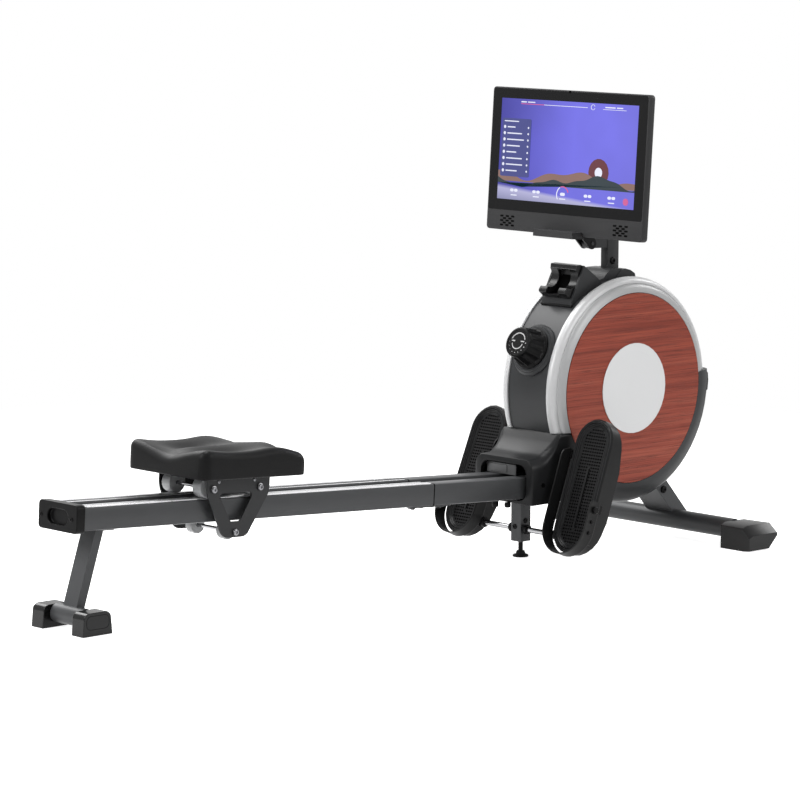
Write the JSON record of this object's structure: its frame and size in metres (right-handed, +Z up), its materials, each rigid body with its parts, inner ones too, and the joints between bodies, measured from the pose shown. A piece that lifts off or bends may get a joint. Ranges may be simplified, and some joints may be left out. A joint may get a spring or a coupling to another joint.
{
  "type": "magnetic rowing machine",
  "caption": "Magnetic rowing machine: inclined twin rails with a rolling seat, drum with side panels and resistance knob, pivoting footplates with heel straps, and a tilting display on a mast.",
  "frame": {"origin": "middle of the footprint, on the floor", "axes": "+X along the rails from the rear stand to the drum, +Y to the left of the rails as seen from the rear stand, +Z up"},
  "size_m": [1.7762, 0.6, 0.9939],
  "materials": {
    "frame": "satin dark grey",
    "shell": "dark grey, fine texture",
    "black": "black, fine texture",
    "rubber": "matte black",
    "silver": "bright silver",
    "steel": "polished",
    "wood": "reddish brown, satin",
    "disc": "matte silver",
    "iron": "machined, dark",
    "roller": "grey, slightly clear",
    "glass": "gloss",
    "webbing": "black webbing"
  },
  "bodies": {
    "frame": {"rear_stand": "frame", "rear_foot_cap_left": "black", "rear_foot_cap_right": "black", "rail_end_cap": "black", "rear_rail_left": "frame", "rear_rail_right": "frame", "front_rail_left": "frame", "front_rail_right": "frame", "track_left": "steel", "track_right": "steel", "splice_plate": "frame", "main_frame": "frame", "centre_leg": "frame", "front_stand": "frame", "front_foot_cap_left": "black", "front_foot_cap_right": "black", "drum_shell_left": "shell", "drum_shell_right": "shell", "rim_ring_left": "silver", "rim_ring_right": "silver", "wood_panel_left": "wood", "wood_panel_right": "wood", "centre_disc_left": "disc", "centre_disc_right": "disc", "front_lower_cover": "shell", "neck_cover": "shell", "top_cover": "shell", "handle_dock": "black", "knob_base": "shell", "recoil_spring_drum": "iron", "drive_belt": "rubber", "tension_cable": "rubber", "mast": "black", "pedal_axle": "steel"},
    "levelling_foot": {"levelling_foot": "black"},
    "seat": {"seat_pad": "black", "seat_bracket": "frame", "rear_seat_axle": "steel", "front_seat_axle": "steel", "lower_seat_axle": "steel"},
    "rear_roller_left": {"rear_roller_left": "roller"},
    "rear_roller_right": {"rear_roller_right": "roller"},
    "front_roller_left": {"front_roller_left": "roller"},
    "front_roller_right": {"front_roller_right": "roller"},
    "lower_roller_left": {"lower_roller_left": "roller"},
    "lower_roller_right": {"lower_roller_right": "roller"},
    "knob": {"resistance_knob": "black"},
    "magnets": {"magnet_bracket": "iron"},
    "spool": {"drive_pulley": "black", "wound_strap": "webbing"},
    "flywheel": {"flywheel": "iron", "flywheel_axle": "steel"},
    "screen": {"screen_bracket": "black", "screen_housing": "black", "display_panel": "glass"},
    "left_footplate": {"pedal_left": "black", "pedal_strap_left": "webbing"},
    "right_footplate": {"pedal_right": "black", "pedal_strap_right": "webbing"}
  },
  "joints": [
    {"name": "seat_slide", "type": "slide", "parent": "frame", "child": "seat", "axis": [0.9985, 0, -0.0548], "range_m": [-0.25, 0.47]},
    {"name": "rear_roller_left_spin", "type": "hinge", "parent": "seat", "child": "rear_roller_left", "pos_m": [-0.55681, 0.047, 0.2534], "axis": [0, 1, 0], "continuous": true},
    {"name": "rear_roller_right_spin", "type": "hinge", "parent": "seat", "child": "rear_roller_right", "pos_m": [-0.55681, -0.047, 0.2534], "axis": [0, 1, 0], "continuous": true},
    {"name": "front_roller_left_spin", "type": "hinge", "parent": "seat", "child": "front_roller_left", "pos_m": [-0.43699, 0.047, 0.24683], "axis": [0, 1, 0], "continuous": true},
    {"name": "front_roller_right_spin", "type": "hinge", "parent": "seat", "child": "front_roller_right", "pos_m": [-0.43699, -0.047, 0.24683], "axis": [0, 1, 0], "continuous": true},
    {"name": "lower_roller_left_spin", "type": "hinge", "parent": "seat", "child": "lower_roller_left", "pos_m": [-0.50175, 0.047, 0.16175], "axis": [0, 1, 0], "continuous": true},
    {"name": "lower_roller_right_spin", "type": "hinge", "parent": "seat", "child": "lower_roller_right", "pos_m": [-0.50175, -0.047, 0.16175], "axis": [0, 1, 0], "continuous": true},
    {"name": "left_footplate_pivot", "type": "hinge", "parent": "frame", "child": "left_footplate", "pos_m": [0.36535, 0.1656, 0.0612], "axis": [0, 1, 0], "range_deg": [-23.6, 16.4]},
    {"name": "right_footplate_pivot", "type": "hinge", "parent": "frame", "child": "right_footplate", "pos_m": [0.36535, -0.1656, 0.0612], "axis": [0, 1, 0], "range_deg": [-20, 20]},
    {"name": "knob_turn", "type": "hinge", "parent": "frame", "child": "knob", "pos_m": [0.35398, 0, 0.46517], "axis": [-0.9198, 0, 0.3923], "range_deg": [0, 270]},
    {"name": "magnet_swing", "type": "hinge", "parent": "frame", "child": "magnets", "pos_m": [0.62514, -0.041, 0.50849], "axis": [0, 1, 0], "range_deg": [-5, 0]},
    {"name": "spool_spin", "type": "hinge", "parent": "frame", "child": "spool", "pos_m": [0.51665, 0, 0.306], "axis": [0, 1, 0], "continuous": true},
    {"name": "flywheel_spin", "type": "hinge", "parent": "frame", "child": "flywheel", "pos_m": [0.67665, 0, 0.381], "axis": [0, 1, 0], "continuous": true},
    {"name": "screen_tilt", "type": "hinge", "parent": "frame", "child": "screen", "pos_m": [0.56615, 0, 0.6626], "axis": [0, 1, 0], "range_deg": [-10, 20]},
    {"name": "levelling_foot_screw", "type": "slide", "parent": "frame", "child": "levelling_foot", "axis": [0, 0, 1], "range_m": [0, 0.009]}
  ],
  "couplings": [
    {"joint": "rear_roller_left_spin", "follows": "seat_slide", "rad_per_m": 47.619},
    {"joint": "rear_roller_right_spin", "follows": "seat_slide", "rad_per_m": 47.619},
    {"joint": "front_roller_left_spin", "follows": "seat_slide", "rad_per_m": 47.619},
    {"joint": "front_roller_right_spin", "follows": "seat_slide", "rad_per_m": 47.619},
    {"joint": "magnet_swing", "follows": "knob_turn", "ratio": -0.018519},
    {"joint": "flywheel_spin", "follows": "spool_spin", "ratio": 2.9545}
  ]
}
